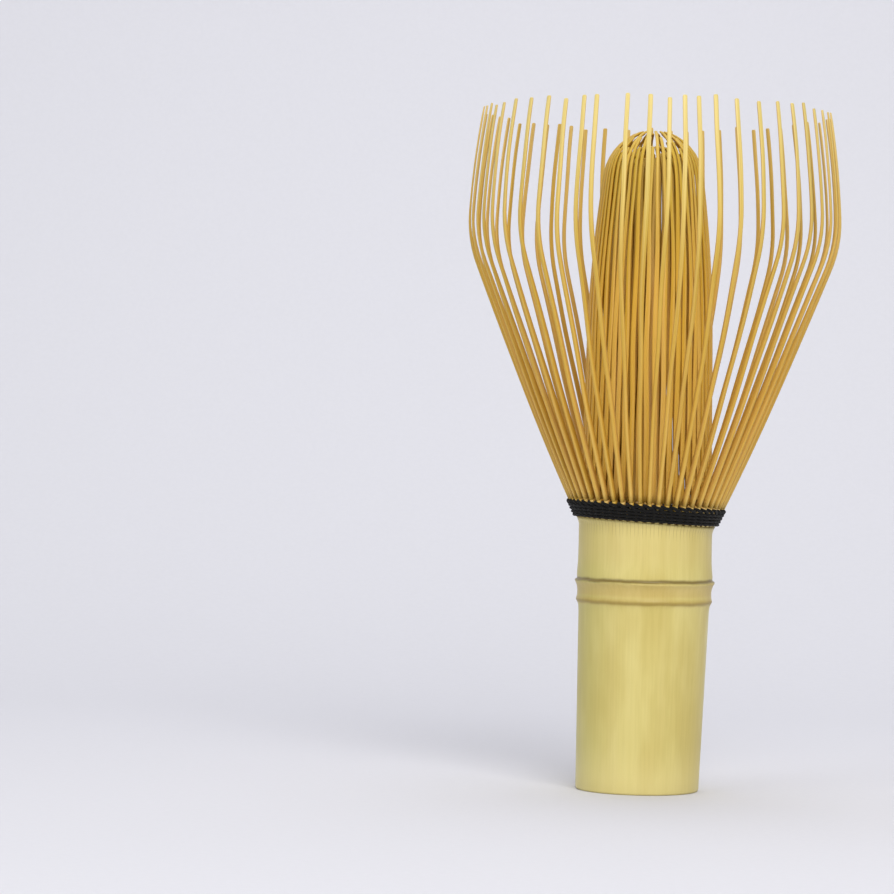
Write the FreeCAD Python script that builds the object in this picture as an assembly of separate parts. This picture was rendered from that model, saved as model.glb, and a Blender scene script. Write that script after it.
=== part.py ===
"""Bamboo tea whisk, in millimetres, standing on its handle.

One bamboo culm makes the whole whisk. Below the node it is left whole, as a hollow handle. Above the node
the wall is split into 108 thin strips, which are shaved and bent. Every second one flares outwards as an
outer tine. The ones between are pressed inwards, and each of them is split again through its thickness, so
that 108 fine tines make a dense central bundle, in two layers. A black thread is wound and twined round the
roots of the outer tines, a little askew, and holds the two rings apart.

Origin: on the axis of the ring of tines, at the height of the handle's flat base. +Z runs up the culm to the
tips of the tines, and -Y is the front.
Each tine is made in two lengths, a fixed root under the thread and a free blade above it, because the
tine bends just above the thread. The blades are grouped into the sections that the culm is first split into.
"""
import FreeCAD
import Part

import math
import os

Vector = FreeCAD.Vector

# ---- tines: how many, and how they are grouped ----
TINES = 54                      # outer tines, and as many inner ones between them
OUTER_PER_SECTION = 3
INNER_PER_SECTION = 6
PITCH = 360.0 / TINES           # degrees from one outer tine to the next
FRONT = -91.0                   # azimuth of the first outer tine, which is near the front
BACK = 90.0

# ---- culm ----
BASE_R = 10.4                   # handle's outer radius at the base
BASE_SHIFT = -0.5               # the lower culm leans, so its base is off the axis along X by this
BASE_CHAMFER = 0.4
BORE_R = 7.0                    # hollow below the node
BORE_TOP = 32.6                 # underside of the culm's natural wall across the node
SEPTUM = 2.0                    # that wall's thickness
CAVITY_R = 8.6                  # hollow above the node
CAVITY_BEVEL = 0.8              # where that hollow meets the wall
BELOW_NODE = (11.1, 31.2)       # radius and height where the lower culm meets the node
LOWER_RIDGE = (11.5, 32.0)
NODE_WAIST = (11.32, 33.4)
UPPER_RIDGE = (11.85, 35.2)
ABOVE_NODE = (11.48, 35.8)
NECK_WAIST = (11.28, 38.5)
NECK_TOP = (11.25, 43.4)        # the splits start here

# ---- the thread's plane ----
SKEW = math.radians(3.0)        # the band of thread is askew, higher at -X
SKEW_AT_R = 12.8
BEND_HEIGHT = 44.6              # where the tines bend, on the axis of the skewed band
CUT_HEIGHT = 48.65              # where roots end and blades begin, above the thread
ROOT_GAP = 0.1                  # clearance between a root and its blade

# ---- outer tines ----
OUTER_WIDTH = (0.72, 0.68)      # at root and tip
OUTER_THICK = (1.0, 0.26)
THINNED_BY = 0.8                # of its length, where the tine has reached its thickness at the tip
OUTER_ROOT_R = NECK_TOP[0] - OUTER_THICK[0] / 2
FLARE_BEND_R = 2.0
FLARE = (26.0, 22.8, 21.9)      # degrees from upright: above the thread, half way, and where the crown starts
FLARE_MIDDLE = 68.0
CROWN_START = 88.4
CROWN_R = 21.0
CURL_R = 145.0
CURL = (3.0, 10.0)              # degrees that the tine leans back in, above the crown and at its tip
TIP_LEAN = ((1.4, 2, 2.85), (1.63, 5, 2.72), (1.08, 9, 1.75))  # sideways stray: degrees, waves round, phase
STRAYS_ABOVE = 0.12             # of its length
STRAY_TINE = 51                 # this one leans over towards its neighbour
STRAY_TINE_LEAN = -2.6
TRIM = 0.45                     # mean shortfall of a tip from the end of the path
TRIM_WAVES = ((0.25, 11, 0.0), (0.2, 23, 1.0))  # its unevenness: size, waves round, phase

# ---- inner tines ----
INNER_WIDTH = (0.56, 0.42)      # at root and tip
NARROWS = (0.5, 0.9)            # shares of its length between which it narrows
INNER_THICK = (0.7, 0.26)       # of the strip at its root, and of each layer at the tip
LAYER_THICK = 0.32              # of each layer, just above where the strip parts into two
LAYER_OFFSET = 0.18             # from the strip's middle to each layer's
INNER_ROOT_R = NECK_TOP[0] - INNER_THICK[0] / 2
TUCK = 6.0                      # degrees that an inner tine turns in below the thread
TUCK_BEND_R = 2.6
TUCKED_R = 10.75                # radius of the bundle above the thread
SWELL = (-0.9, -5.0)            # degrees that each layer closes, if negative, up to SWELL_TOP
SWELL_TOP = 76.0
SHOULDER_HEIGHT = (104.0, 102.4)  # each layer closes into a dome above this
SHOULDER_LEAN = (7.9, 1.5)      # degrees that it leans in there
DOME_R = (8.8, 6.8)
TIERS = 3
INNER_TIP_R = ((2.3, 4.7, 6.6), (1.9, 4.2, 5.1))  # for each layer, where the tips of each tier stop
WAIST_LEAN = (                  # sideways stray of each layer: degrees, waves round, phase
    ((1.5, 5, 1.0), (0.8, 13, 0.4)),
    ((0.9, 7, 3.0), (0.35, 11, 1.9)),
)
WAIST = (0.1, 0.6)              # shares of its length between which an inner tine strays
STRAIGHTENS = (0.75, 0.95)      # and between which it comes part of the way back
COMES_BACK = 0.55
LAYER_TURN = 0.5                # of a tine's pitch, that the layer behind turns aside, into the gaps
LAYER_TURNS = (0.06, 0.18)      # shares of its length between which it does so

# ---- how finely the strips are lofted ----
OUTER_ROOT_STEPS = 6
INNER_ROOT_STEPS = 8
OUTER_BLADE_STEPS = 12
INNER_BLADE_STEPS = 14
SPLIT_TAPER = 0.09              # of its width, that a strip loses inwards for each millimetre of thickness

# ---- thread ----
THREAD_R = 0.26                 # the rounds wound outside the tines
ROUNDS = 4
LOWEST_ROUND = 45.72            # height of its middle
ROUND_STEP = 0.48
STRAND_R = 0.22                 # the two strands twined in and out between the tines
TWINE_HEIGHT = 47.9
TWINE_STEP = 0.26               # one strand passes this far above that height in a gap, the other below
TWINE_CORNER_R = 0.5
STRAND_END = 0.04               # of a tine's pitch, from the middle of the back tine to each end of a strand
THREAD_CLEARANCE = 0.06
KNOT_R = 0.55


def tilt(azimuth):
    """How much higher the skewed band is at this azimuth than on the axis."""
    return -SKEW_AT_R * math.tan(SKEW) * math.cos(math.radians(azimuth))


def run(length):
    return ("run", length, 0.0)


def arc(radius, turn):
    """A bend of this radius through turn degrees, away from the axis if turn is positive."""
    return ("arc", radius, turn)


def stretch_length(stretch):
    kind, size, turn = stretch
    return size if kind == "run" else size * abs(math.radians(turn))


def path_length(path):
    return sum(stretch_length(s) for s in path["stretches"])


def along(path, s):
    """Radius, height and lean (radians from upright) at s millimetres along a tine's path."""
    r, z = path["start"]
    lean = 0.0
    for stretch in path["stretches"]:
        kind, size, turn = stretch
        length = stretch_length(stretch)
        part = min(s, length)
        if kind == "run":
            r += part * math.sin(lean)
            z += part * math.cos(lean)
        elif part > 0:
            way = math.copysign(1.0, turn)
            after = lean + way * part / size
            r += way * size * (math.cos(lean) - math.cos(after))
            z += way * size * (math.sin(after) - math.sin(lean))
            lean = after
        s -= part
        if s <= 0:
            break
    return r, z, lean


def arc_between(lean_before, lean_after, rise):
    """The bend that turns the one lean into the other, in degrees from upright, over this rise."""
    change = math.sin(math.radians(lean_after)) - math.sin(math.radians(lean_before))
    return arc(abs(rise / change), lean_after - lean_before)


def outer_path(azimuth):
    """Up out of the culm, out along the flare, round the crown, and in to the tip."""
    tangent = FLARE_BEND_R * math.tan(math.radians(FLARE[0]) / 2)
    bend = BEND_HEIGHT + tilt(azimuth)
    flare_start = bend + tangent * math.cos(math.radians(FLARE[0]))
    return {
        "start": (OUTER_ROOT_R, NECK_TOP[1]),
        "stretches": [
            run(bend - tangent - NECK_TOP[1]),
            arc(FLARE_BEND_R, FLARE[0]),
            arc_between(FLARE[0], FLARE[1], FLARE_MIDDLE - flare_start),
            arc_between(FLARE[1], FLARE[2], CROWN_START - FLARE_MIDDLE),
            arc(CROWN_R, -FLARE[2] - CURL[0]),
            arc(CURL_R, CURL[0] - CURL[1]),
        ],
    }


def inner_path(azimuth, tier, layer):
    """In under the thread, up the side of the bundle, and over its shoulder to the middle.

    layer is 0 for the outer half of a split strip, 1 for the half behind it, and None for the whole strip.
    """
    offset = {None: 0.0, 0: LAYER_OFFSET, 1: -LAYER_OFFSET}[layer]
    shape = layer or 0
    tip_r = INNER_TIP_R[shape][tier]
    swell = math.radians(SWELL[shape])
    tuck = math.radians(TUCK)
    tuck_tangent = TUCK_BEND_R * math.tan(tuck / 2)
    swell_tangent = TUCK_BEND_R * math.tan((tuck + swell) / 2)
    bend = BEND_HEIGHT + tilt(azimuth)
    upright = bend - tuck_tangent - NECK_TOP[1]
    slope = (INNER_ROOT_R - TUCKED_R) / math.sin(tuck) - tuck_tangent - swell_tangent
    path = {
        "start": (INNER_ROOT_R + offset, NECK_TOP[1]),
        "stretches": [
            run(upright),
            arc(TUCK_BEND_R, -TUCK),
            run(slope),
            arc(TUCK_BEND_R, TUCK + SWELL[shape]),
        ],
    }
    z = along(path, path_length(path))[1]
    path["stretches"].append(run((SWELL_TOP - z) / math.cos(swell)))
    lean_in = SHOULDER_LEAN[shape]
    path["stretches"].append(arc_between(SWELL[shape], -lean_in, SHOULDER_HEIGHT[shape] - SWELL_TOP))
    shoulder_r = along(path, path_length(path))[0]
    to_tip = math.acos(math.cos(math.radians(lean_in)) - (shoulder_r - tip_r) / DOME_R[shape])
    path["stretches"].append(arc(DOME_R[shape], lean_in - math.degrees(to_tip)))
    return path


def length_to_height(path, height):
    """How far along the path it first reaches this height."""
    low, high = 0.0, path_length(path)
    for _ in range(50):
        mid = (low + high) / 2
        if along(path, mid)[1] < height:
            low = mid
        else:
            high = mid
    return high


def smooth(share, start, end):
    """0 up to start and 1 from end on, with an eased rise between them."""
    t = max(0.0, min(1.0, (share - start) / (end - start)))
    return t * t * (3 - 2 * t)


def waves_at(angle, terms):
    """The sum of waves round the whisk, each with a size, a number of waves and a phase, at this angle."""
    return sum(size * math.sin(waves * math.radians(angle) + phase) for size, waves, phase in terms)


def outer_stray(k, share):
    """Degrees that outer tine k has strayed sideways, at this share of its length. Split bamboo is uneven."""
    at_tip = waves_at(k * PITCH, TIP_LEAN)
    if k == STRAY_TINE:
        at_tip += STRAY_TINE_LEAN
    return at_tip * smooth(share, STRAYS_ABOVE, 1.0)


def inner_stray(azimuth, layer, share):
    """Degrees that an inner tine has strayed sideways, which gathers the bundle into clumps and gaps."""
    strayed = smooth(share, *WAIST) - COMES_BACK * smooth(share, *STRAIGHTENS)
    return waves_at(azimuth, WAIST_LEAN[layer]) * strayed


def outer_trim(azimuth):
    """How much shorter this outer tine is than its path, in millimetres."""
    return TRIM + waves_at(azimuth, TRIM_WAVES)


def between(pair, share):
    return pair[0] + (pair[1] - pair[0]) * share


def outer_size(share):
    return between(OUTER_WIDTH, share), between(OUTER_THICK, min(1.0, share / THINNED_BY) ** 1.2)


def inner_root_size(share):
    return INNER_WIDTH[0], INNER_THICK[0]


def inner_size(share):
    return between(INNER_WIDTH, smooth(share, *NARROWS)), between((LAYER_THICK, INNER_THICK[1]), share)


def cross_section(path, s, wide, thick, azimuth):
    """A wedge-sided rectangle across the tine: split along radii, it is narrower towards the axis."""
    r, z, lean = along(path, s)
    a = math.radians(azimuth)
    outwards = Vector(math.cos(a), math.sin(a), 0)
    sideways = Vector(-math.sin(a), math.cos(a), 0)
    across = outwards * math.cos(lean) - Vector(0, 0, 1) * math.sin(lean)
    centre = outwards * r + Vector(0, 0, z)
    inner_wide = wide * (1 - SPLIT_TAPER * thick)
    corners = [(-wide / 2, thick / 2), (wide / 2, thick / 2),
               (inner_wide / 2, -thick / 2), (-inner_wide / 2, -thick / 2)]
    points = [centre + sideways * x + across * y for x, y in corners]
    return Part.makePolygon(points + points[:1])


def strip(path, size, turned, start, end, steps):
    """The solid strip of bamboo from start to end along a path; turned gives its azimuth at a share of it."""
    wires = []
    for i in range(steps + 1):
        s = start + (end - start) * i / steps
        share = s / path_length(path)
        wide, thick = size(share)
        wires.append(cross_section(path, s, wide, thick, turned(share)))
    return Part.makeLoft(wires, True, False)


def cut_length(path, azimuth):
    return length_to_height(path, CUT_HEIGHT + tilt(azimuth))


def outer_azimuth(k):
    return FRONT + k * PITCH


def inner_azimuth(k):
    return FRONT + (k + 0.5) * PITCH


def outer_root(k):
    azimuth = outer_azimuth(k)
    path = outer_path(azimuth)
    return strip(path, outer_size, lambda share: azimuth, 0.0, cut_length(path, azimuth), OUTER_ROOT_STEPS)


def inner_root(k):
    azimuth = inner_azimuth(k)
    path = inner_path(azimuth, k % TIERS, None)
    end = cut_length(path, azimuth)
    return strip(path, inner_root_size, lambda share: azimuth, 0.0, end, INNER_ROOT_STEPS)


def outer_blade(k):
    azimuth = outer_azimuth(k)
    path = outer_path(azimuth)
    start = cut_length(path, azimuth) + ROOT_GAP
    end = path_length(path) - outer_trim(azimuth)

    def turned(share):
        return azimuth + outer_stray(k, share)

    return strip(path, outer_size, turned, start, end, OUTER_BLADE_STEPS)


def inner_blade(k, layer):
    azimuth = inner_azimuth(k)
    path = inner_path(azimuth, k % TIERS, layer)
    start = cut_length(path, azimuth) + ROOT_GAP

    def turned(share):
        aside = layer * LAYER_TURN * PITCH * smooth(share, *LAYER_TURNS)
        return azimuth + aside + inner_stray(azimuth, layer, share)

    return strip(path, inner_size, turned, start, path_length(path), INNER_BLADE_STEPS)


def circle_wire(radius, x, z):
    return Part.Wire([Part.Circle(Vector(x, 0, z), Vector(0, 0, 1), radius).toShape()])


def lathe(points):
    """The solid that a closed outline of (radius, height) points makes when it is turned about Z."""
    outline = Part.makePolygon([Vector(r, 0, z) for r, z in points + points[:1]])
    return Part.Face(outline).revolve(Vector(0, 0, 0), Vector(0, 0, 1), 360)


def ridge_points(before, peak, after, steps=4):
    """A rounded ridge between two points of the culm's outline."""
    edge = Part.Arc(Vector(before[0], 0, before[1]), Vector(peak[0], 0, peak[1]),
                    Vector(after[0], 0, after[1])).toShape()
    return [(p.x, p.z) for p in edge.discretize(2 * steps + 1)]


def handle():
    """The whole part of the culm: lower culm, node with its two ridges and its wall, and the neck."""
    septum_top = BORE_TOP + SEPTUM
    upper = lathe([(0, BELOW_NODE[1]), BELOW_NODE]
                  + ridge_points(BELOW_NODE, LOWER_RIDGE, NODE_WAIST)[1:]
                  + ridge_points(NODE_WAIST, UPPER_RIDGE, ABOVE_NODE)[1:]
                  + [NECK_WAIST, NECK_TOP, (CAVITY_R, NECK_TOP[1]), (CAVITY_R, septum_top + CAVITY_BEVEL),
                     (CAVITY_R - CAVITY_BEVEL, septum_top), (0, septum_top)])
    lower = Part.makeLoft([circle_wire(BASE_R - BASE_CHAMFER, BASE_SHIFT, 0),
                           circle_wire(BASE_R, BASE_SHIFT, BASE_CHAMFER),
                           circle_wire(BELOW_NODE[0], 0, BELOW_NODE[1])], True, True)
    bore = Part.makeCylinder(BORE_R, BORE_TOP + 1, Vector(0, 0, -1))
    return upper.fuse(lower).cut(bore).removeSplitter()


def beside_roots(height, side, thread_r):
    """Radius of a thread that lies against the flaring outer tines, outside them (side 1) or inside (-1)."""
    path = outer_path(BACK)
    s = length_to_height(path, height)
    r, _, lean = along(path, s)
    thick = outer_size(s / path_length(path))[1]
    return r + side * (thick / 2 + THREAD_CLEARANCE + thread_r) / math.cos(lean)


def skewed(shape, height):
    """Tips a shape made level at this height into the plane of the skewed band."""
    shape.rotate(Vector(0, 0, height), Vector(0, 1, 0), math.degrees(SKEW))
    return shape


def binding_rounds():
    """The rounds of thread wound outside the outer tines, each lying on the one below."""
    rounds = []
    for n in range(ROUNDS):
        height = LOWEST_ROUND + n * ROUND_STEP
        radius = beside_roots(height, 1, THREAD_R)
        ring = Part.makeTorus(radius, THREAD_R, Vector(0, 0, height), Vector(0, 0, 1))
        rounds.append(skewed(ring, height))
    return Part.makeCompound(rounds)


def rounded_wire(points, radius):
    """Straight runs between the points, joined at the inner ones by tangent arcs."""
    edges = []
    reached = points[0]
    for before, corner, after in zip(points, points[1:], points[2:]):
        back = (before - corner).normalize()
        on = (after - corner).normalize()
        half = back.getAngle(on) / 2
        reach = radius / math.tan(half)
        bend_start = corner + back * reach
        bend_end = corner + on * reach
        bend_top = corner + (back + on).normalize() * (radius / math.sin(half) - radius)
        edges.append(Part.LineSegment(reached, bend_start).toShape())
        edges.append(Part.Arc(bend_start, bend_top, bend_end).toShape())
        reached = bend_end
    edges.append(Part.LineSegment(reached, points[-1]).toShape())
    return Part.Wire(edges)


def twining_strand(first_outside):
    """One strand from the back round to the back, outside every second tine and inside the ones between.

    The two strands cross in every gap, the one on its way in below the one on its way out.
    """
    def side(k):
        return 1 if (k - first_outside) % 2 == 0 else -1

    def point(k, which_side, level):
        azimuth = outer_azimuth(k)
        height = TWINE_HEIGHT + level * TWINE_STEP
        radius = beside_roots(height, which_side, STRAND_R)
        a = math.radians(azimuth)
        return Vector(radius * math.cos(a), radius * math.sin(a), height + tilt(azimuth))

    back_tine = TINES // 2
    points = [point(back_tine + STRAND_END, side(back_tine), 0)]
    for k in range(back_tine, back_tine + TINES):
        points.append(point(k + 0.5, side(k), -side(k)))
        points.append(point(k + 0.5, side(k + 1), -side(k)))
    points.append(point(back_tine + TINES - STRAND_END, side(back_tine), 0))
    spine = rounded_wire(points, TWINE_CORNER_R)
    ring = Part.Wire([Part.Circle(points[0], points[1] - points[0], STRAND_R).toShape()])
    return spine.makePipeShell([ring], True, False)


def thread_knot():
    """The small hard knot at the back, where the ends of the thread are tied off over the top round."""
    height = LOWEST_ROUND + (ROUNDS - 1) * ROUND_STEP
    radius = beside_roots(height, 1, THREAD_R) + THREAD_R + THREAD_CLEARANCE + KNOT_R
    return Part.makeSphere(KNOT_R, Vector(0, radius, height))


def export(name, shape):
    solids = shape.Solids
    bad = [s for s in solids if not s.isValid() or s.Volume <= 0]
    print(f"{name}: {len(solids)} solids, {shape.Volume:.1f} mm3" + (f", {len(bad)} BAD" if bad else ""))
    shape.exportStep(f"parts/{name}.step")


def main():
    os.makedirs("parts", exist_ok=True)
    export("handle", handle())
    export("outer_tine_roots", Part.makeCompound([outer_root(k) for k in range(TINES)]))
    export("inner_tine_roots", Part.makeCompound([inner_root(k) for k in range(TINES)]))
    export("binding_rounds", binding_rounds())
    export("twining_strand_a", twining_strand(0))
    export("twining_strand_b", twining_strand(1))
    export("thread_knot", thread_knot())
    for g in range(TINES // OUTER_PER_SECTION):
        tines = range(g * OUTER_PER_SECTION, (g + 1) * OUTER_PER_SECTION)
        export(f"outer_tines_{g + 1:02d}", Part.makeCompound([outer_blade(k) for k in tines]))
    for g in range(TINES // INNER_PER_SECTION):
        tines = range(g * INNER_PER_SECTION, (g + 1) * INNER_PER_SECTION)
        blades = [inner_blade(k, layer) for k in tines for layer in (0, 1)]
        export(f"inner_tines_{g + 1:02d}", Part.makeCompound(blades))


main()
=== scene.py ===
import math
import random

import bpy
from mathutils import Matrix, Vector


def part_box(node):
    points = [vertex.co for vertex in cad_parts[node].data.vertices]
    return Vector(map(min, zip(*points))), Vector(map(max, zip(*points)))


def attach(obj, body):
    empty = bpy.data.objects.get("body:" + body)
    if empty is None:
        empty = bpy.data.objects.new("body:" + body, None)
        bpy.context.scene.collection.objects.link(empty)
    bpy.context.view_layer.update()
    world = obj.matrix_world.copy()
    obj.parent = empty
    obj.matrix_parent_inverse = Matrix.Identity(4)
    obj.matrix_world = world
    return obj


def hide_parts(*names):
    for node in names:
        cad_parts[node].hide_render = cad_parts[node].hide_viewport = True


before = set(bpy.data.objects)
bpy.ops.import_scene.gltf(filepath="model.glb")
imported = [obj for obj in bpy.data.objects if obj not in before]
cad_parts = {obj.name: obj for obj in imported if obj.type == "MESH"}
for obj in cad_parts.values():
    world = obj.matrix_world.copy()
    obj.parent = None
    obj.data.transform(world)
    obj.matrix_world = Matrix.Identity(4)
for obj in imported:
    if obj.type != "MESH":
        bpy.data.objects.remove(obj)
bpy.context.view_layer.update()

# Lengths are in millimetres, and become metres where a mesh is made.
MM = 0.001

# ---- the culm, as the part has it ----
NECK_TOP_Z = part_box("handle")[1][2] / MM  # the splits start here
NECK_TOP_R = 11.25
SKIN_TURNS_Z = 44.15            # where the skin turns outwards below the thread, on the skewed band's axis
BASE_R = 10.4
BASE_SHIFT = -0.5               # the lower culm leans, so its base is off the axis along X by this
LEAN_TOP = 31.2                 # and it stands true above this height
BORE_R = 7.0                    # hollow below the node
BORE_TOP = 32.6
SEPTUM_TOP = 34.6               # top of the natural wall across the node
CAVITY_R = 8.6                  # hollow above the node
CREASE_Z = 35.2                 # the node's upper ridge
CULM_SEGMENTS = 240

# ---- the tines ----
TINES = 54                      # outer tines, and as many inner strips between them
OUTER_PER_SECTION = 3
INNER_PER_SECTION = 6
PITCH = 360.0 / TINES           # degrees from one outer tine to the next
FRONT = -91.0                   # azimuth of the first outer tine
ROOT_STATIONS = 14
BLADE_STATIONS = 44
TIP_STATIONS = (0.22, 0.07, 0.0)  # a blade's rounded end: how far each outline is before the tip
TIP_ROUNDING = TIP_STATIONS[0]
SKEW = math.radians(3.0)        # the band of thread is askew, higher at -X
SKEW_AT_R = 12.8
BEND_HEIGHT = 44.6              # where the tines bend
CUT_HEIGHT = 48.65              # where roots end and blades begin
BLADE_GAP = 0.02
OUTER_WIDTH = (0.72, 0.74)      # at root and tip
OUTER_THICK = (1.0, 0.26)
THINNED_BY = 0.8                # of its length, where the tine has reached its thickness at the tip
OUTER_ROOT_R = NECK_TOP_R - OUTER_THICK[0] / 2
FLARE_BEND_R = 2.0
FLARE = (26.0, 22.8, 21.9)      # degrees from upright: above the thread, half way, where the crown starts
FLARE_MIDDLE = 68.0
CROWN_START = 88.4
CROWN_R = 21.0
CURL_R = 145.0
CURL = (3.0, 10.0)
TIP_LEAN = ((1.4, 2, 2.85), (1.63, 5, 2.72), (1.08, 9, 1.75))  # sideways stray: degrees, waves round, phase
STRAYS_ABOVE = 0.12             # of its length
STRAY_TINE = 51
STRAY_TINE_LEAN = -2.6
TRIM = 0.45                     # mean shortfall of a tip from the end of the path
TRIM_WAVES = ((0.25, 11, 0.0), (0.2, 23, 1.0))  # its unevenness: size, waves round, phase
INNER_ROOT_WIDTH = 0.56
BLADE_WIDTH = (0.86, 0.54)      # of a fine inner tine, opened out a little above the thread
NARROWS = (0.5, 0.9)            # shares of its length between which it narrows
INNER_THICK = (0.7, 0.26)
LAYER_THICK = 0.32
LAYER_OFFSET = 0.18
INNER_ROOT_R = NECK_TOP_R - INNER_THICK[0] / 2
TUCK = 6.0
TUCK_BEND_R = 2.6
TUCKED_R = 10.75
SWELL = (-0.9, -5.0)            # degrees that each layer closes, if negative, up to SWELL_TOP
SWELL_TOP = 76.0
SHOULDER_HEIGHT = (104.0, 102.4)
SHOULDER_LEAN = (7.9, 1.5)
DOME_R = (8.8, 6.8)
INNER_TIP_R = ((2.3, 4.7, 6.6), (1.9, 4.2, 5.1))  # for each layer, where the tips of each tier stop
TIERS = 3
WAIST_LEAN = (                  # sideways stray of each layer: degrees, waves round, phase
    ((1.5, 5, 1.0), (0.8, 13, 0.4)),
    ((0.9, 7, 3.0), (0.35, 11, 1.9)),
)
WAIST = (0.1, 0.6)              # shares of its length between which an inner tine strays
STRAIGHTENS = (0.75, 0.95)      # and between which it comes part of the way back
COMES_BACK = 0.55
LAYER_TURN = 0.5                # of a tine's pitch, that the layer behind turns aside, into the gaps
LAYER_TURNS = (0.03, 0.1)       # shares of its length between which it does so
SPLIT_SHARE = 0.28              # of the pitch, from an outer tine's middle to the split beside it

# ---- the thread ----
THREAD_R = 0.26
ROUND_FULLNESS = 1.12           # soft thread spreads to more than its wound radius
STRAND_FULLNESS = 1.4
ROUNDS = 4
LOWEST_ROUND = 45.72
ROUND_STEP = 0.53
STRAND_R = 0.22
TWINE_HEIGHT = 47.9
TWINE_STEP = 0.26
TWINE_CORNER_R = 0.5
THREAD_CLEARANCE = 0.06
PLIES = 3
TWIST_LENGTH = 1.5              # of thread, for one turn of its plies


# ================= shapes of the tines' paths =================

def smooth(share, start, end):
    """0 up to start and 1 from end on, with an eased rise between them."""
    t = max(0.0, min(1.0, (share - start) / (end - start)))
    return t * t * (3 - 2 * t)


def waves_at(angle, terms):
    """The sum of waves round the whisk, each with a size, a number of waves and a phase, at this angle."""
    return sum(size * math.sin(waves * math.radians(angle) + phase) for size, waves, phase in terms)


def between(pair, share):
    return pair[0] + (pair[1] - pair[0]) * share


def tilt(azimuth):
    """How much higher the skewed band of thread is at this azimuth than on the axis."""
    return -SKEW_AT_R * math.tan(SKEW) * math.cos(math.radians(azimuth))


def run(length):
    return ("run", length, 0.0)


def arc(radius, turn):
    return ("arc", radius, turn)


def stretch_length(stretch):
    kind, size, turn = stretch
    return size if kind == "run" else size * abs(math.radians(turn))


def path_length(path):
    return sum(stretch_length(s) for s in path["stretches"])


def along(path, s):
    """Radius, height and lean (radians from upright) at s millimetres along a tine's path."""
    r, z = path["start"]
    lean = 0.0
    for stretch in path["stretches"]:
        kind, size, turn = stretch
        length = stretch_length(stretch)
        part = min(s, length)
        if kind == "run":
            r += part * math.sin(lean)
            z += part * math.cos(lean)
        elif part > 0:
            way = math.copysign(1.0, turn)
            after = lean + way * part / size
            r += way * size * (math.cos(lean) - math.cos(after))
            z += way * size * (math.sin(after) - math.sin(lean))
            lean = after
        s -= part
        if s <= 0:
            break
    return r, z, lean


def arc_between(lean_before, lean_after, rise):
    """The bend that turns the one lean into the other, in degrees from upright, over this rise."""
    change = math.sin(math.radians(lean_after)) - math.sin(math.radians(lean_before))
    return arc(abs(rise / change), lean_after - lean_before)


def outer_path(azimuth):
    """Up out of the culm, out along the flare, round the crown, and in to the tip."""
    tangent = FLARE_BEND_R * math.tan(math.radians(FLARE[0]) / 2)
    bend = BEND_HEIGHT + tilt(azimuth)
    flare_start = bend + tangent * math.cos(math.radians(FLARE[0]))
    return {
        "start": (OUTER_ROOT_R, NECK_TOP_Z),
        "stretches": [
            run(bend - tangent - NECK_TOP_Z),
            arc(FLARE_BEND_R, FLARE[0]),
            arc_between(FLARE[0], FLARE[1], FLARE_MIDDLE - flare_start),
            arc_between(FLARE[1], FLARE[2], CROWN_START - FLARE_MIDDLE),
            arc(CROWN_R, -FLARE[2] - CURL[0]),
            arc(CURL_R, CURL[0] - CURL[1]),
        ],
    }


def inner_path(azimuth, tier, layer):
    """In under the thread, up the side of the bundle, and over its shoulder to the middle.

    layer is 0 for the outer half of a split strip, 1 for the half behind it, and None for the whole strip.
    """
    offset = {None: 0.0, 0: LAYER_OFFSET, 1: -LAYER_OFFSET}[layer]
    shape = layer or 0
    tip_r = INNER_TIP_R[shape][tier]
    swell = math.radians(SWELL[shape])
    tuck = math.radians(TUCK)
    tuck_tangent = TUCK_BEND_R * math.tan(tuck / 2)
    swell_tangent = TUCK_BEND_R * math.tan((tuck + swell) / 2)
    bend = BEND_HEIGHT + tilt(azimuth)
    upright = bend - tuck_tangent - NECK_TOP_Z
    slope = (INNER_ROOT_R - TUCKED_R) / math.sin(tuck) - tuck_tangent - swell_tangent
    path = {
        "start": (INNER_ROOT_R + offset, NECK_TOP_Z),
        "stretches": [
            run(upright),
            arc(TUCK_BEND_R, -TUCK),
            run(slope),
            arc(TUCK_BEND_R, TUCK + SWELL[shape]),
        ],
    }
    z = along(path, path_length(path))[1]
    path["stretches"].append(run((SWELL_TOP - z) / math.cos(swell)))
    lean_in = SHOULDER_LEAN[shape]
    path["stretches"].append(arc_between(SWELL[shape], -lean_in, SHOULDER_HEIGHT[shape] - SWELL_TOP))
    shoulder_r = along(path, path_length(path))[0]
    to_tip = math.acos(math.cos(math.radians(lean_in)) - (shoulder_r - tip_r) / DOME_R[shape])
    path["stretches"].append(arc(DOME_R[shape], lean_in - math.degrees(to_tip)))
    return path


def length_to_height(path, height):
    """How far along the path it first reaches this height."""
    low, high = 0.0, path_length(path)
    for _ in range(40):
        mid = (low + high) / 2
        if along(path, mid)[1] < height:
            low = mid
        else:
            high = mid
    return high


def outer_stray(k, share):
    """Degrees that outer tine k has strayed sideways, at this share of its length. Split bamboo is uneven."""
    at_tip = waves_at(k * PITCH, TIP_LEAN)
    if k == STRAY_TINE:
        at_tip += STRAY_TINE_LEAN
    return at_tip * smooth(share, STRAYS_ABOVE, 1.0)


def inner_stray(azimuth, layer, share):
    """Degrees that an inner tine has strayed sideways, which gathers the bundle into clumps and gaps."""
    strayed = smooth(share, *WAIST) - COMES_BACK * smooth(share, *STRAIGHTENS)
    return waves_at(azimuth, WAIST_LEAN[layer]) * strayed


def outer_trim(azimuth):
    """How much shorter this outer tine is than its path, in millimetres."""
    return TRIM + waves_at(azimuth, TRIM_WAVES)


def outer_size(share):
    return between(OUTER_WIDTH, share), between(OUTER_THICK, min(1.0, share / THINNED_BY) ** 1.2)


def inner_root_size(share):
    return INNER_ROOT_WIDTH, INNER_THICK[0]


def inner_size(share):
    return between(BLADE_WIDTH, smooth(share, *NARROWS)), between((LAYER_THICK, INNER_THICK[1]), share)


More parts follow.
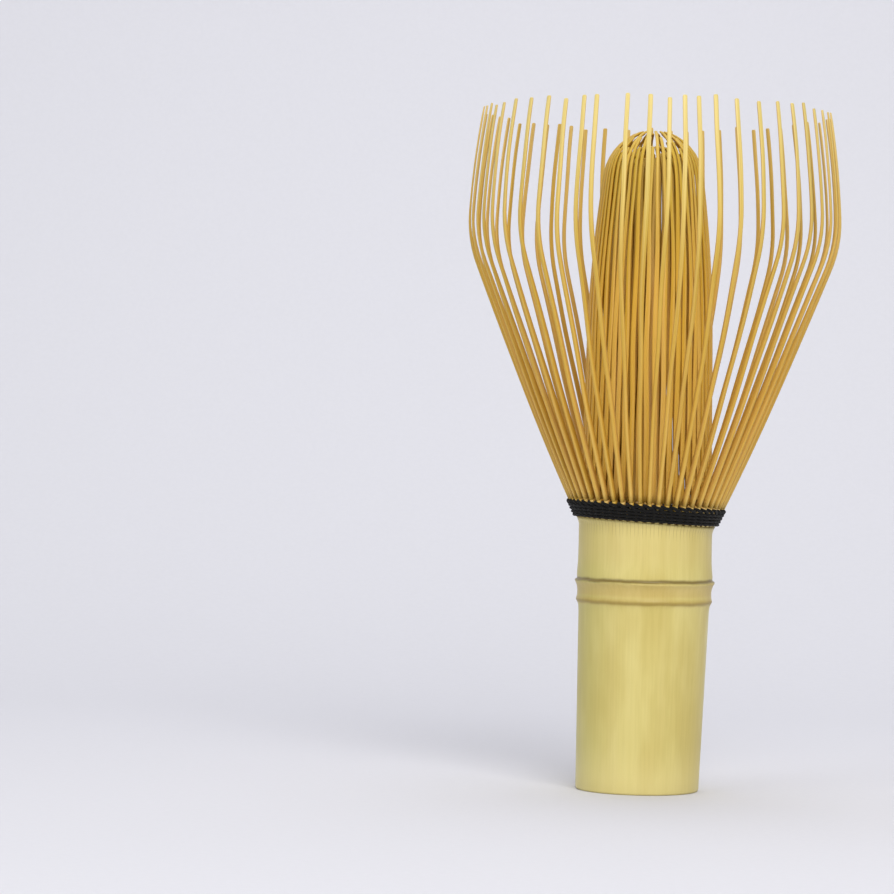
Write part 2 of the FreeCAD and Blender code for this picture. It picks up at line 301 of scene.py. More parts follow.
def outer_strip(k):
    """What outer tine k's strip follows: its path, its azimuth at a share of it, its size and its end."""
    azimuth = FRONT + k * PITCH
    path = outer_path(azimuth)
    return {"path": path, "turned": lambda share: azimuth + outer_stray(k, share), "size": outer_size,
            "cut": length_to_height(path, CUT_HEIGHT + tilt(azimuth)),
            "end": path_length(path) - outer_trim(azimuth), "crown": 0.16}


def inner_strip(k, layer):
    """The same for an inner tine. layer is None for its root, 0 and 1 for the two fine tines above it."""
    azimuth = FRONT + (k + 0.5) * PITCH
    path = inner_path(azimuth, k % TIERS, layer)

    def turned(share):
        if layer is None:
            return azimuth
        aside = layer * LAYER_TURN * PITCH * smooth(share, *LAYER_TURNS)
        return azimuth + aside + inner_stray(azimuth, layer, share)

    return {"path": path, "turned": turned, "size": inner_root_size if layer is None else inner_size,
            "cut": length_to_height(path, CUT_HEIGHT + tilt(azimuth)), "end": path_length(path), "crown": 0.1}


# ================= meshes =================

def make_piece(name, verts, faces, grain, materials, face_slots=None):
    """A mesh object from points in millimetres. grain gives each face's corners their grain map places."""
    me = bpy.data.meshes.new(name)
    me.from_pydata([(x * MM, y * MM, z * MM) for x, y, z in verts], [], faces)
    layer = me.uv_layers.new(name="grain")
    corner = 0
    for face_grain in grain:
        for u, v in face_grain:
            layer.data[corner].uv = (u, v)
            corner += 1
    for m in materials:
        me.materials.append(m)
    if face_slots:
        me.polygons.foreach_set("material_index", face_slots)
    me.polygons.foreach_set("use_smooth", [True] * len(faces))
    me.update()
    piece = bpy.data.objects.new(name, me)
    bpy.context.collection.objects.link(piece)
    return piece


def strip_profile(wide, thick, crown, shaved):
    """A strip's outline, from the middle of its outer side round. Shaving domes it and eases its corners."""
    w, t = wide / 2, thick / 2
    ease = min(w, t) * (0.06 + 0.36 * shaved)
    dome = crown * thick * shaved
    inside = w * (1 - 0.09 * thick)
    right = [(0.0, t + dome), (w * 0.55, t + dome * 0.7), (w - ease * 0.6, t), (w, t - ease),
             (inside, -t + ease), (inside - ease * 0.6, -t), (inside * 0.4, -t)]
    left = [(-x, y) for x, y in reversed(right) if x > 0]
    return right + left


def add_strip(mesh, strip, start, end, count, rounded_end, chance):
    """Adds one strip of bamboo, from start to end along its path, to the mesh lists."""
    verts, faces, grain = mesh
    path = strip["path"]
    whole = path_length(path)
    first = len(verts)
    width_by = 1 + chance.uniform(-0.05, 0.05)
    wave_phase = chance.uniform(0, 2 * math.pi)
    stations = [start + (end - start) * i / count for i in range(count + 1)]
    if rounded_end:
        stations = stations[:-1] + [end - before for before in TIP_STATIONS]
    sides = 0
    for s in stations:
        share = s / whole
        wide, thick = strip["size"](share)
        if rounded_end and end - s < TIP_ROUNDING + 0.01:
            wide *= 0.62 + 0.38 * math.sqrt(max(0.0, (end - s) / TIP_ROUNDING))
            thick *= 0.8
        wide *= width_by if share > 0.12 else 1.0
        r, z, lean = along(path, s)
        waviness = smooth(share, 0.15, 0.45) * smooth(1 - share, 0.0, 0.15)
        wave = 0.1 * math.sin(s * 0.22 + wave_phase) * waviness
        a = math.radians(strip["turned"](share)) + wave / max(r, 4.0)
        outwards = Vector((math.cos(a), math.sin(a), 0))
        sideways = Vector((-math.sin(a), math.cos(a), 0))
        across = outwards * math.cos(lean) - Vector((0, 0, 1)) * math.sin(lean)
        centre = outwards * r + Vector((0, 0, z))
        outline = strip_profile(wide, thick, strip["crown"], smooth(share, 0.02, 0.07))
        sides = len(outline)
        verts.extend([tuple(centre + sideways * x + across * y) for x, y in outline])
    for i in range(len(stations) - 1):
        u0, u1 = stations[i] / whole, stations[i + 1] / whole
        for j in range(sides):
            jn = (j + 1) % sides
            v0, v1 = j / sides, (j + 1) / sides
            a, b = first + i * sides + j, first + i * sides + jn
            faces.append((a, b, b + sides, a + sides))
            grain.append(((u0, v0), (u0, v1), (u1, v1), (u1, v0)))
    last = first + (len(stations) - 1) * sides
    faces.append(tuple(reversed(range(first, first + sides))))
    grain.append([(stations[0] / whole, 0.5)] * sides)
    faces.append(tuple(range(last, last + sides)))
    grain.append([(stations[-1] / whole, 0.5)] * sides)


def lathe(name, outline, slots, materials, segments, shape=None):
    """A closed form turned about the axis. outline is (radius, height) points, from the axis to the axis.

    slots gives the material of each band between two points, and shape may move each point by its azimuth.
    """
    verts, faces, grain, face_slots = [], [], [], []
    rings = []
    for r, z in outline:
        ring = []
        count = 1 if r == 0 else segments
        for i in range(count):
            a = 2 * math.pi * i / segments
            p = (r * math.cos(a), r * math.sin(a), z)
            ring.append(len(verts))
            verts.append(shape(p, a) if shape else p)
        rings.append(ring)
    travelled = [0.0]
    for before, after in zip(outline, outline[1:]):
        travelled.append(travelled[-1] + math.dist(before, after))
    for n, (low, high) in enumerate(zip(rings, rings[1:])):
        for i in range(segments):
            j = (i + 1) % segments
            around0, around1 = i / segments, (i + 1) / segments
            corners = [(low[i % len(low)], around0, travelled[n]),
                       (low[j % len(low)], around1, travelled[n]),
                       (high[j % len(high)], around1, travelled[n + 1]),
                       (high[i % len(high)], around0, travelled[n + 1])]
            unique = []
            for corner in corners:
                if corner[0] not in [c[0] for c in unique]:
                    unique.append(corner)
            faces.append(tuple(c[0] for c in unique))
            grain.append([(c[1], c[2]) for c in unique])
            face_slots.append(slots[n])
    return make_piece(name, verts, faces, grain, materials, face_slots)


def thread_mesh(name, route, closed, radius, material, phase=0.0):
    """A twisted thread along a route: a tube whose section has a lobe for each ply, turning as it goes."""
    sides = 5 * PLIES
    verts, faces, grain = [], [], []
    travelled = 0.0
    count = len(route)
    frame_up = None
    for i, p in enumerate(route):
        before = route[i - 1] if (i or closed) else p
        after = route[(i + 1) % count] if (closed or i < count - 1) else p
        heading = (after - before).normalized()
        radial = Vector((p.x, p.y, 0)).normalized()
        side = heading.cross(Vector((0, 0, 1)))
        if side.length < 0.2:
            side = heading.cross(radial)
        side.normalize()
        if frame_up is not None:
            side = (frame_up - heading * frame_up.dot(heading)).normalized()
        frame_up = side
        other = heading.cross(side)
        if i:
            travelled += (p - route[i - 1]).length
        turn = 2 * math.pi * travelled / TWIST_LENGTH + phase
        for j in range(sides):
            a = 2 * math.pi * j / sides
            lobe = radius * (0.86 + 0.14 * math.cos(PLIES * (a - turn / PLIES)))
            verts.append(tuple(p + side * (lobe * math.cos(a)) + other * (lobe * math.sin(a))))
    rings = count if closed else count - 1
    for i in range(rings):
        n = ((i + 1) % count) * sides
        for j in range(sides):
            jn = (j + 1) % sides
            faces.append((i * sides + j, i * sides + jn, n + jn, n + j))
            grain.append(((i, j / sides), (i, (j + 1) / sides), (i + 1, (j + 1) / sides), (i + 1, j / sides)))
    if not closed:
        faces.append(tuple(reversed(range(sides))))
        grain.append([(0, 0)] * sides)
        last = (count - 1) * sides
        faces.append(tuple(range(last, last + sides)))
        grain.append([(0, 0)] * sides)
    return make_piece(name, verts, faces, grain, [material])


# ================= materials =================

def new_material(name):
    m = bpy.data.materials.new(name)
    m.use_nodes = True
    return m, m.node_tree, m.node_tree.nodes["Principled BSDF"]


def node(tree, kind, **settings):
    n = tree.nodes.new(kind)
    for key, value in settings.items():
        setattr(n, key, value)
    return n


def feed(tree, source, target):
    """Links a socket to an input, or sets the input to a plain value."""
    if isinstance(source, bpy.types.NodeSocket):
        tree.links.new(source, target)
    else:
        target.default_value = source


def mix_colour(tree, factor, first, second, blend="MIX"):
    n = node(tree, "ShaderNodeMix", data_type="RGBA", blend_type=blend, clamp_factor=True)
    feed(tree, factor, n.inputs["Factor"])
    feed(tree, first, n.inputs[6])
    feed(tree, second, n.inputs[7])
    return n.outputs[2]


def sums(tree, operation, first, second=0.0, third=0.0):
    n = node(tree, "ShaderNodeMath", operation=operation)
    feed(tree, first, n.inputs[0])
    feed(tree, second, n.inputs[1])
    feed(tree, third, n.inputs[2])
    return n.outputs[0]


def spread(tree, value, low, high, to_low=0.0, to_high=1.0):
    n = node(tree, "ShaderNodeMapRange", clamp=True, interpolation_type="SMOOTHSTEP")
    feed(tree, value, n.inputs["Value"])
    feed(tree, low, n.inputs["From Min"])
    feed(tree, high, n.inputs["From Max"])
    feed(tree, to_low, n.inputs["To Min"])
    feed(tree, to_high, n.inputs["To Max"])
    return n.outputs["Result"]


def noise(tree, vector, scale, detail=2.0, roughness=0.5):
    n = node(tree, "ShaderNodeTexNoise")
    feed(tree, vector, n.inputs["Vector"])
    n.inputs["Scale"].default_value = scale
    n.inputs["Detail"].default_value = detail
    n.inputs["Roughness"].default_value = roughness
    return n.outputs["Fac"]


def stretched(tree, vector, scale):
    n = node(tree, "ShaderNodeVectorMath", operation="MULTIPLY")
    feed(tree, vector, n.inputs[0])
    n.inputs[1].default_value = scale
    return n.outputs[0]


def srgb(r, g, b):
    """A colour given in the everyday 0 to 255 steps, as the linear values that the shader takes."""
    out = []
    for c in (r, g, b):
        c /= 255.0
        out.append(c / 12.92 if c <= 0.04045 else ((c + 0.055) / 1.055) ** 2.4)
    return (*out, 1.0)


def fibre_group():
    """Bamboo's long fibres: fine dark and pale lines that run with the grain, and their height for a bump."""
    g = bpy.data.node_groups.new("bamboo_fibre", "ShaderNodeTree")
    g.interface.new_socket("Across and along", in_out="INPUT", socket_type="NodeSocketVector")
    g.interface.new_socket("Strength", in_out="INPUT", socket_type="NodeSocketFloat")
    g.interface.new_socket("Colour", in_out="INPUT", socket_type="NodeSocketColor")
    g.interface.new_socket("Colour", in_out="OUTPUT", socket_type="NodeSocketColor")
    g.interface.new_socket("Height", in_out="OUTPUT", socket_type="NodeSocketFloat")
    came = g.nodes.new("NodeGroupInput")
    goes = g.nodes.new("NodeGroupOutput")
    fine = noise(g, came.outputs["Across and along"], 1.0, 3.0, 0.6)
    broad = noise(g, stretched(g, came.outputs["Across and along"], (0.22, 0.3, 1.0)), 1.0, 2.0)
    lines = spread(g, fine, 0.38, 0.68)
    dark = node(g, "ShaderNodeHueSaturation")
    dark.inputs["Value"].default_value = 0.74
    dark.inputs["Saturation"].default_value = 1.12
    feed(g, came.outputs["Colour"], dark.inputs["Color"])
    pale = node(g, "ShaderNodeHueSaturation")
    pale.inputs["Value"].default_value = 1.12
    pale.inputs["Saturation"].default_value = 0.88
    feed(g, came.outputs["Colour"], pale.inputs["Color"])
    base = mix_colour(g, sums(g, "MULTIPLY", spread(g, broad, 0.35, 0.7), came.outputs["Strength"]),
                      came.outputs["Colour"], pale.outputs["Color"])
    streaks = sums(g, "MULTIPLY", lines, came.outputs["Strength"])
    streaked = mix_colour(g, streaks, base, dark.outputs["Color"])
    feed(g, streaked, goes.inputs["Colour"])
    feed(g, sums(g, "SUBTRACT", 1.0, lines), goes.inputs["Height"])
    return g


def use_group(tree, group, **values):
    n = node(tree, "ShaderNodeGroup", node_tree=group)
    for key, value in values.items():
        feed(tree, value, n.inputs[key.replace("_", " ")])
    return n


def bump(tree, shader, height, strength, distance):
    n = node(tree, "ShaderNodeBump")
    n.inputs["Strength"].default_value = strength
    n.inputs["Distance"].default_value = distance
    feed(tree, height, n.inputs["Height"])
    feed(tree, n.outputs["Normal"], shader.inputs["Normal"])


def colour_stops(tree, value, stops):
    n = node(tree, "ShaderNodeValToRGB")
    ramp = n.color_ramp
    while len(ramp.elements) < len(stops):
        ramp.elements.new(0.5)
    for element, (position, colour) in zip(ramp.elements, stops):
        element.position = position
        element.color = colour
    feed(tree, value, n.inputs["Fac"])
    return n.outputs["Color"]


def place(tree):
    """Where a point is, in millimetres: the vector, and its three parts."""
    at = stretched(tree, node(tree, "ShaderNodeTexCoord").outputs["Object"], (1 / MM, 1 / MM, 1 / MM))
    parts = node(tree, "ShaderNodeSeparateXYZ")
    feed(tree, at, parts.inputs[0])
    return at, parts.outputs[0], parts.outputs[1], parts.outputs[2]


def culm_skin(fibre):
    """The culm's waxy skin, pale straw, with the scar lines of the node, painted shade in the crease above
    its upper ridge, and the splits below the thread.
    """
    m, t, shader = new_material("culm_skin")
    at, x, y, z = place(t)
    lengthways = stretched(t, at, (2.6, 2.6, 0.05))
    clouds = noise(t, stretched(t, at, (0.16, 0.16, 0.05)), 1.0, 3.0)
    straw = mix_colour(t, spread(t, clouds, 0.35, 0.68), srgb(214, 199, 122), srgb(202, 184, 104))
    # partly painted shade, partly a greener tint: the skin turns darker and greener towards -X, the side away
    # from the window light
    greener_shaded_side = mix_colour(t, spread(t, x, -4.0, -11.0, 0.0, 0.35), straw, srgb(178, 174, 88))
    unevenness = noise(t, stretched(t, at, (0.3, 0.3, 0.0)), 1.0)
    wave = sums(t, "MULTIPLY", sums(t, "SUBTRACT", unevenness, 0.5), 0.45)
    level = sums(t, "ADD", z, wave)
    low_band = sums(t, "MULTIPLY", spread(t, level, 31.2, 32.0), spread(t, level, 33.0, 32.2))
    gold = mix_colour(t, sums(t, "MULTIPLY", low_band, 0.55), greener_shaded_side, srgb(176, 146, 64))
    scar_band = sums(t, "MULTIPLY", spread(t, level, 32.3, 33.4), spread(t, level, 35.5, 34.7))
    tan = mix_colour(t, sums(t, "MULTIPLY", scar_band, 0.5), gold, srgb(190, 160, 88))
    # painted shade: a dark olive line in the crease just above the node's upper ridge, where the groove lies
    # in shadow
    crease_shade_mask = sums(t, "MULTIPLY", spread(t, level, 35.05, 35.5), spread(t, level, 36.1, 35.6))
    lower_line = sums(t, "MULTIPLY", spread(t, level, 31.45, 31.8), spread(t, level, 32.4, 32.0))
    lined = mix_colour(t, sums(t, "MULTIPLY", lower_line, 0.6), tan, srgb(148, 124, 48))
    crease_painted_shade = mix_colour(t, sums(t, "MULTIPLY", crease_shade_mask, 0.85), lined, srgb(108, 88, 34))
    neck = mix_colour(t, spread(t, z, 36.5, 41.0, 0.0, 0.5), crease_painted_shade, srgb(212, 192, 118))
    turned = sums(t, "MULTIPLY", sums(t, "ARCTAN2", y, x), TINES / (2 * math.pi))
    from_outer = sums(t, "PINGPONG", sums(t, "ADD", turned, TINES - FRONT / PITCH), 0.5)
    off_split = sums(t, "ABSOLUTE", sums(t, "SUBTRACT", from_outer, SPLIT_SHARE))
    up_split = sums(t, "ADD", z, sums(t, "MULTIPLY", x, math.tan(SKEW)))
    split = sums(t, "MULTIPLY", spread(t, off_split, 0.03, 0.01), spread(t, up_split, 42.2, 44.2))
    parted = mix_colour(t, sums(t, "MULTIPLY", split, 0.7), neck, srgb(150, 122, 60))
    lines = use_group(t, fibre, Across_and_along=lengthways, Strength=0.17, Colour=parted)
    spots = noise(t, stretched(t, at, (0.75, 0.75, 0.3)), 1.0, 4.0, 0.65)
    aged = mix_colour(t, spread(t, spots, 0.72, 0.8, 0.0, 0.5), lines.outputs["Colour"], srgb(150, 116, 60))
    # painted reflection: the skin is lightened towards the foot to stand in for light thrown up from the
    # floor
    floor_reflection_painted = mix_colour(t, spread(t, z, 9.0, 0.0, 0.0, 0.45), aged, srgb(232, 216, 146))
    feed(t, floor_reflection_painted, shader.inputs["Base Color"])
    feed(t, spread(t, clouds, 0.3, 0.7, 0.34, 0.46), shader.inputs["Roughness"])
    shader.inputs["Coat Weight"].default_value = 0.07
    shader.inputs["Coat Roughness"].default_value = 0.3
    bump(t, shader, lines.outputs["Height"], 0.1, 0.00006)
    return m


def culm_cut(fibre):
    """The sawn end of the culm: paler, with the dark dots of its vessels."""
    m, t, shader = new_material("culm_cut_end")
    at = place(t)[0]
    dots = node(t, "ShaderNodeTexVoronoi", feature="F1")
    feed(t, at, dots.inputs["Vector"])
    dots.inputs["Scale"].default_value = 2.2
    vessel = spread(t, dots.outputs["Distance"], 0.34, 0.2)
    lines = use_group(t, fibre, Across_and_along=stretched(t, at, (1.2, 1.2, 1.2)), Strength=0.3,
                      Colour=srgb(222, 200, 138))
    wood = mix_colour(t, sums(t, "MULTIPLY", vessel, 0.6), lines.outputs["Colour"], srgb(150, 112, 58))
    feed(t, wood, shader.inputs["Base Color"])
    shader.inputs["Roughness"].default_value = 0.72
    bump(t, shader, vessel, 0.3, 0.00008)
    return m


def culm_hollow(fibre):
    """The papery lining of the culm's hollow."""
    m, t, shader = new_material("culm_hollow")
    at = place(t)[0]
    lines = use_group(t, fibre, Across_and_along=stretched(t, at, (1.6, 1.6, 0.12)), Strength=0.45,
                      Colour=srgb(226, 208, 160))
    feed(t, lines.outputs["Colour"], shader.inputs["Base Color"])
    shader.inputs["Roughness"].default_value = 0.8
    bump(t, shader, lines.outputs["Height"], 0.3, 0.0001)
    return m


def tine_bamboo(name, fibre, stops, dark_side, roughness):
    """Split and shaved bamboo. The stops colour it from root to tip, and each tine is a little different."""
    m, t, shader = new_material(name)
    grain = node(t, "ShaderNodeUVMap", uv_map="grain").outputs["UV"]
    parts = node(t, "ShaderNodeSeparateXYZ")
    feed(t, grain, parts.inputs[0])
    share, around = parts.outputs[0], parts.outputs[1]
    island = node(t, "ShaderNodeNewGeometry").outputs["Random Per Island"]
    shifted = node(t, "ShaderNodeCombineXYZ")
    feed(t, sums(t, "MULTIPLY", around, 22.0), shifted.inputs[0])
    feed(t, sums(t, "MULTIPLY", share, 4.0), shifted.inputs[1])
    feed(t, sums(t, "MULTIPLY", island, 60.0), shifted.inputs[2])
    base = colour_stops(t, share, stops)
    side = sums(t, "ABSOLUTE", sums(t, "SUBTRACT", around, 0.5))
    cut_face = spread(t, side, 0.36, 0.28)
    shaved = mix_colour(t, sums(t, "MULTIPLY", cut_face, 0.5), base, dark_side)
    tone = node(t, "ShaderNodeHueSaturation")
    uneven = sums(t, "MULTIPLY", sums(t, "SUBTRACT", island, 0.5), spread(t, share, 0.02, 0.06))
    feed(t, sums(t, "MULTIPLY_ADD", uneven, 0.26, 1.0), tone.inputs["Value"])
    feed(t, sums(t, "MULTIPLY_ADD", uneven, -0.14, 1.0), tone.inputs["Saturation"])
    feed(t, shaved, tone.inputs["Color"])
    lines = use_group(t, fibre, Across_and_along=shifted.outputs[0], Strength=0.55,
                      Colour=tone.outputs["Color"])
    feed(t, lines.outputs["Colour"], shader.inputs["Base Color"])
    rough = spread(t, lines.outputs["Height"], 0.0, 1.0, roughness + 0.12, roughness)
    feed(t, rough, shader.inputs["Roughness"])
    bump(t, shader, lines.outputs["Height"], 0.25, 0.00004)
    return m


def black_thread():
    """Cotton thread dyed black, a little brown where it catches the light."""
    m, t, shader = new_material("black_thread")
    at = place(t)[0]
    fluff = noise(t, at, 9.0, 3.0, 0.7)
    dyed = mix_colour(t, spread(t, fluff, 0.4, 0.75), srgb(7, 7, 6), srgb(24, 21, 16))
    feed(t, dyed, shader.inputs["Base Color"])
    shader.inputs["Roughness"].default_value = 0.88
    shader.inputs["Specular IOR Level"].default_value = 0.25
    shader.inputs["Sheen Weight"].default_value = 0.06
    shader.inputs["Sheen Roughness"].default_value = 0.5
    bump(t, shader, fluff, 0.5, 0.00006)
    return m


def studio_paper(name, colour):
    m, t, shader = new_material(name)
    at = place(t)[0]
    tooth = noise(t, at, 0.8, 4.0, 0.6)
    feed(t, mix_colour(t, spread(t, tooth, 0.3, 0.7), colour, [c * 0.985 for c in colour[:3]] + [1.0]),
         shader.inputs["Base Color"])
    shader.inputs["Roughness"].default_value = 0.85
    return m


# ================= pieces =================

def culm_shape(point, azimuth):
    """Leans the lower culm, waves the node's ridges a little, and skews the skin's edge along the thread."""
    x, y, z = point
    if z >= SKIN_TURNS_Z:
        z += tilt(math.degrees(azimuth))
    if z < LEAN_TOP and math.hypot(x, y) > BORE_R + 0.5:
        x += BASE_SHIFT * (1 - z / LEAN_TOP)
    near_node = math.exp(-((z - CREASE_Z) / 1.6) ** 2)
    z += near_node * (0.1 * math.sin(2 * azimuth + 0.7) + 0.04 * math.sin(5 * azimuth))
    swell = near_node * 0.06 * math.sin(3 * azimuth + 1.2)
    x += swell * math.cos(azimuth)
    y += swell * math.sin(azimuth)
    return x, y, z


def build_handle(skin, cut, hollow):
    """The whole part of the culm, with its hollows below and above the node's wall."""
    skin_line = [(BASE_R - 0.35, 0.0), (BASE_R - 0.12, 0.1), (BASE_R, 0.4)]
    skin_line += [(BASE_R + (11.02 - BASE_R) * i / 12, 0.4 + (30.2 - 0.4) * i / 12) for i in range(1, 13)]
    skin_line += [(11.08, 30.9), (11.16, 31.35), (11.34, 31.7), (11.47, 31.95), (11.5, 32.12), (11.44, 32.35),
                  (11.35, 32.7), (11.32, 33.2), (11.34, 33.7), (11.42, 34.2), (11.56, 34.65), (11.74, 34.98),
                  (11.83, 35.14), (11.8, 35.3), (11.66, 35.42), (11.5, 35.5), (11.43, 35.62), (11.45, 35.85),
                  (11.46, 36.3), (11.38, 37.3), (11.3, 38.5), (11.27, 40.0), (11.26, 41.6),
                  (NECK_TOP_R + 0.02, NECK_TOP_Z - 0.6), (11.28, SKIN_TURNS_Z), (11.37, SKIN_TURNS_Z + 0.35),
                  (11.46, SKIN_TURNS_Z + 0.65), (11.7, SKIN_TURNS_Z + 1.15)]
    inside_top = [(11.5, SKIN_TURNS_Z + 1.15), (11.12, SKIN_TURNS_Z), (11.05, NECK_TOP_Z),
                  (CAVITY_R, NECK_TOP_Z - 0.05), (CAVITY_R, 39.0), (CAVITY_R, SEPTUM_TOP + 0.8),
                  (CAVITY_R - 0.25, SEPTUM_TOP + 0.25), (CAVITY_R - 0.8, SEPTUM_TOP), (3.0, SEPTUM_TOP - 0.1),
                  (0, SEPTUM_TOP - 0.15)]
    inside_low = [(0, BORE_TOP + 0.1), (3.0, BORE_TOP + 0.05), (BORE_R - 0.6, BORE_TOP),
                  (BORE_R - 0.15, BORE_TOP - 0.2), (BORE_R, BORE_TOP - 0.7), (BORE_R, 20.0), (BORE_R, 8.0),
                  (BORE_R, 0.25), (BORE_R + 0.2, 0.0)]
    outline = inside_low + skin_line + inside_top
    slots = [2] * (len(inside_low) - 1) + [1]
    slots += [0] * (len(skin_line) - 1) + [1, 1] + [2] * (len(inside_top) - 2)
    handle = lathe("culm_handle", outline, slots, [skin, cut, hollow], CULM_SEGMENTS, culm_shape)
    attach(handle, "handle")
    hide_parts("handle")


def build_roots(name, strips, material, cad_node):
    """The fixed lengths of the strips, from the splits in the neck up through the thread."""
    chance = random.Random(name)
    mesh = ([], [], [])
    for strip in strips:
        add_strip(mesh, strip, 0.0, strip["cut"], ROOT_STATIONS, False, chance)
    piece = make_piece(name, *mesh, [material])
    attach(piece, "handle")
    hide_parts(cad_node)


def build_blades(name, strips, material, cad_node):
    """The springy lengths of the strips, from just above the thread to their tips."""
    chance = random.Random(name)
    mesh = ([], [], [])
    for strip in strips:
        add_strip(mesh, strip, strip["cut"] + BLADE_GAP, strip["end"], BLADE_STATIONS, True, chance)
    piece = make_piece(name, *mesh, [material])
    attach(piece, cad_node)
    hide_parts(cad_node)


def beside_roots(height, side, thread_r):
    """Radius of a thread that lies against the flaring outer tines, outside them (side 1) or inside (-1)."""
    path = outer_path(90.0)
    s = length_to_height(path, height)
    r, _, lean = along(path, s)
    thick = outer_size(s / path_length(path))[1]
    return r + side * (thick / 2 + THREAD_CLEARANCE + thread_r) / math.cos(lean)


def build_rounds(material):
    """The rounds of thread wound outside the outer tines, each pressed a little into their gaps."""
    tip_over = Matrix.Rotation(SKEW, 4, "Y")
    rounds = []
    for n in range(ROUNDS):
        height = LOWEST_ROUND + n * ROUND_STEP
        radius = beside_roots(height, 1, THREAD_R) - THREAD_CLEARANCE * 0.6
        steps = 900
        route = []
        for i in range(steps):
            a = 2 * math.pi * i / steps
            pressed = 0.03 * math.cos(TINES * a)
            point = Vector(((radius + pressed) * math.cos(a), (radius + pressed) * math.sin(a), 0))
            route.append(tip_over @ point + Vector((0, 0, height)))
        rounds.append(thread_mesh(f"thread_round_{n + 1}", route, True, THREAD_R * ROUND_FULLNESS, material,
                                  n * 1.3))
    for piece in rounds:
        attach(piece, "handle")
        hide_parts("binding_rounds")


def twining_route(first_outside):
    """Points of one strand, outside every second tine and inside the ones between."""
    def side(k):
        return 1 if (k - first_outside) % 2 == 0 else -1

    def point(k, which_side, level):
        azimuth = FRONT + k * PITCH
        height = TWINE_HEIGHT + level * TWINE_STEP
        radius = beside_roots(height, which_side, STRAND_R)
        a = math.radians(azimuth)
        return Vector((radius * math.cos(a), radius * math.sin(a), height + tilt(azimuth)))

    back_tine = TINES // 2
    points = [point(back_tine + 0.04, side(back_tine), 0)]
    for k in range(back_tine, back_tine + TINES):
        points.append(point(k + 0.5, side(k), -side(k)))
        points.append(point(k + 0.5, side(k + 1), -side(k)))
    points.append(point(back_tine + TINES - 0.04, side(back_tine), 0))
    return points


def rounded(points, radius, step=0.12):
    """Points along the straight runs between these points and the tangent arcs that join them."""
    route = [points[0]]
    for before, corner, after in zip(points, points[1:], points[2:]):
        back = (before - corner).normalized()
        on = (after - corner).normalized()
        half = back.angle(on) / 2
        reach = radius / math.tan(half)
        start, end = corner + back * reach, corner + on * reach
        add_run(route, start, step)
        middle = corner + (back + on).normalized() * (radius / math.sin(half))
        sweep = math.pi - 2 * half
        axis = (start - middle).cross(end - middle).normalized()
        arcs = max(3, round(radius * sweep / step))
        for i in range(1, arcs + 1):
            route.append(middle + Matrix.Rotation(sweep * i / arcs, 3, axis) @ (start - middle))
    add_run(route, points[-1], step)
    return route


def add_run(route, end, step):
    start = route[-1]
    count = max(1, round((end - start).length / step))
    for i in range(1, count + 1):
        route.append(start.lerp(end, i / count))


def build_twining(material):
    for letter, first_outside in (("a", 0), ("b", 1)):
        route = rounded(twining_route(first_outside), TWINE_CORNER_R)
        piece = thread_mesh(f"thread_twined_{letter}", route, False, STRAND_R * STRAND_FULLNESS, material,
                            first_outside * 2.0)
        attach(piece, "handle")
        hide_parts(f"twining_strand_{letter}")


def build_knot(material):
    """A small hard knot, and the two cut ends that stand out of it."""
    low, high = [Vector(corner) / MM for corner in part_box("thread_knot")]
    middle = (low + high) / 2
    size = (high.x - low.x) / 2
    route = []
    turns = 160
    for i in range(turns):
        a = 2 * math.pi * i / turns
        ring = 0.52 + 0.2 * math.cos(3 * a)
        route.append(middle + Vector((size * ring * math.cos(2 * a), size * 0.3 * math.sin(3 * a),
                                      size * ring * math.sin(2 * a))))
    knot = thread_mesh("thread_knot_tied", route, True, 0.19, material)
    ends = []
    for way in (-1, 1):
        end_route = rounded([middle + Vector((0.1 * way, 0.1, 0)), middle + Vector((0.5 * way, 0.25, -0.35)),
                             middle + Vector((0.75 * way, 0.3, -1.15))], 0.3, 0.08)
        hand = "left" if way < 0 else "right"
        ends.append(thread_mesh(f"thread_end_{hand}", end_route, False, 0.17, material))
    for piece in [knot] + ends:
        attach(piece, "handle")
        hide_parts("thread_knot")


def build_stage():
    """A pale sweep: floor, curve and backdrop."""
    paper = studio_paper("studio_paper", srgb(214, 214, 220))
    half, front, back, height, bend = 900.0, -900.0, 420.0, 1100.0, 260.0
    profile = [(front, 0.0), (back - bend, 0.0)]
    profile += [(back - bend + bend * math.sin(a), bend - bend * math.cos(a))
                for a in [math.pi / 2 * i / 16 for i in range(1, 17)]]
    profile.append((back, height))
    verts = [(x, y, z) for y, z in profile for x in (-half, half)]
    faces = [(2 * i, 2 * i + 1, 2 * i + 3, 2 * i + 2) for i in range(len(profile) - 1)]
    grain = [[(0, 0)] * 4 for _ in faces]
    make_piece("studio_sweep", verts, faces, grain, [paper])


def add_light(name, place_mm, aim_mm, size_mm, power, colour=(1, 1, 1)):
    lamp = bpy.data.lights.new(name, "AREA")
    lamp.shape = "RECTANGLE"
    lamp.size, lamp.size_y = size_mm[0] * MM, size_mm[1] * MM
    lamp.energy = power
    lamp.color = colour
    holder = bpy.data.objects.new(name, lamp)
    bpy.context.collection.objects.link(holder)
    holder.location = Vector(place_mm) * MM
    holder.rotation_euler = (Vector(aim_mm) * MM - holder.location).to_track_quat("-Z", "Y").to_euler()


def build_lights():
    add_light("window", (170, -740, 600), (0, 0, 70), (520, 520), 6.2, (1.0, 0.98, 0.95))
    add_light("fill", (-560, -420, 260), (0, 0, 60), (420, 420), 0.95, (0.97, 0.98, 1.0))
    add_light("top", (0, 120, 700), (0, 0, 60), (500, 500), 1.8)
    world = bpy.data.worlds.new("studio")
    world.use_nodes = True
    world.node_tree.nodes["Background"].inputs["Color"].default_value = (0.93, 0.95, 1.0, 1.0)
    world.node_tree.nodes["Background"].inputs["Strength"].default_value = 0.36
    bpy.context.scene.world = world
    bpy.context.scene.view_settings.view_transform = "Standard"


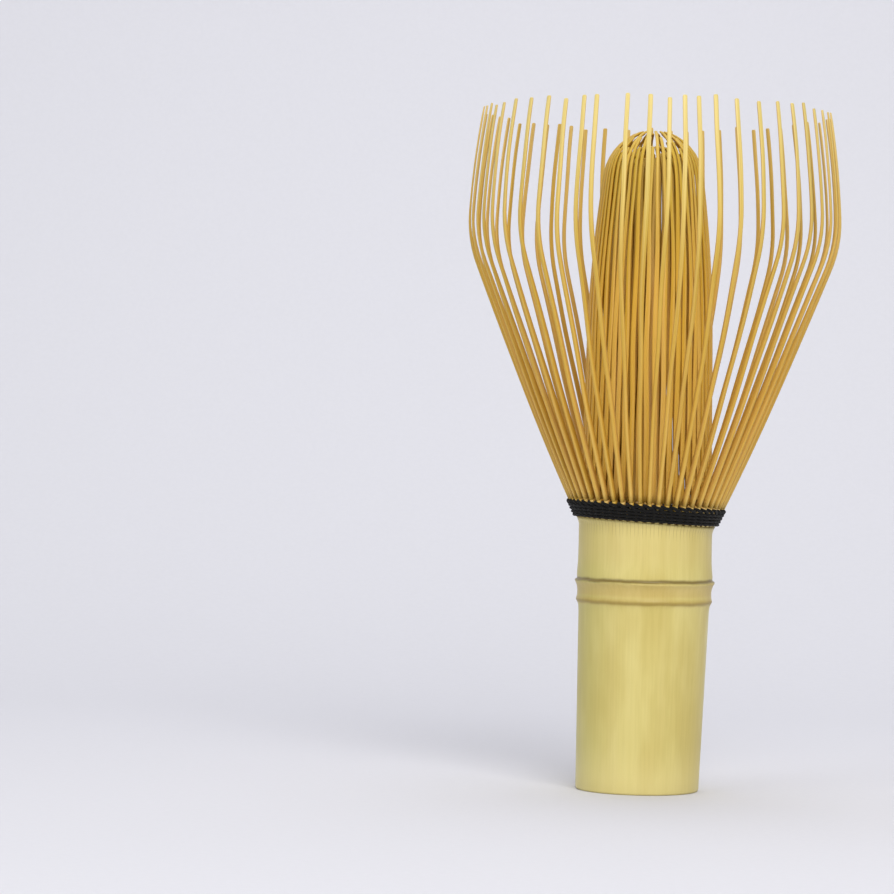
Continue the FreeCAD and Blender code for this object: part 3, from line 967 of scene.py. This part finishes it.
def build_camera():
    """Level with the middle of the whisk, which stands to the right of the view's middle."""
    eye = bpy.data.cameras.new("camera")
    eye.lens = 133.0
    eye.clip_start = 0.01
    holder = bpy.data.objects.new("camera", eye)
    bpy.context.collection.objects.link(holder)
    roll = math.radians(1.3)
    holder.location = Vector((-33.9, -559.0, 57.2)) * MM
    holder.rotation_euler = (Matrix.Rotation(math.pi / 2, 4, "X") @ Matrix.Rotation(roll, 4, "Z")).to_euler()
    bpy.context.scene.camera = holder


def build_whisk():
    fibre = fibre_group()
    outer = tine_bamboo("outer_tine_bamboo", fibre, [
        (0.0, srgb(212, 194, 118)), (0.03, srgb(214, 190, 110)), (0.08, srgb(214, 174, 76)),
        (0.3, srgb(212, 167, 56)), (0.6, srgb(210, 171, 64)), (0.8, srgb(214, 185, 92)),
        (1.0, srgb(224, 202, 120)),
    ], srgb(198, 146, 46), 0.46)
    inner = tine_bamboo("inner_tine_bamboo", fibre, [
        (0.0, srgb(212, 192, 116)), (0.03, srgb(212, 184, 104)), (0.1, srgb(221, 176, 68)),
        (0.6, srgb(223, 174, 58)), (0.85, srgb(206, 168, 52)), (1.0, srgb(198, 164, 50)),
    ], srgb(206, 152, 44), 0.5)
    thread = black_thread()
    build_handle(culm_skin(fibre), culm_cut(fibre), culm_hollow(fibre))
    build_roots("outer_roots_split", [outer_strip(k) for k in range(TINES)], outer, "outer_tine_roots")
    build_roots("inner_roots_split", [inner_strip(k, None) for k in range(TINES)], inner, "inner_tine_roots")
    for g in range(TINES // OUTER_PER_SECTION):
        tines = range(g * OUTER_PER_SECTION, (g + 1) * OUTER_PER_SECTION)
        build_blades(f"outer_blades_{g + 1:02d}", [outer_strip(k) for k in tines], outer,
                     f"outer_tines_{g + 1:02d}")
    for g in range(TINES // INNER_PER_SECTION):
        tines = range(g * INNER_PER_SECTION, (g + 1) * INNER_PER_SECTION)
        fine_tines = [inner_strip(k, layer) for k in tines for layer in (0, 1)]
        build_blades(f"inner_blades_{g + 1:02d}", fine_tines, inner, f"inner_tines_{g + 1:02d}")
    build_rounds(thread)
    build_twining(thread)
    build_knot(thread)


build_whisk()
build_stage()
build_lights()
build_camera()
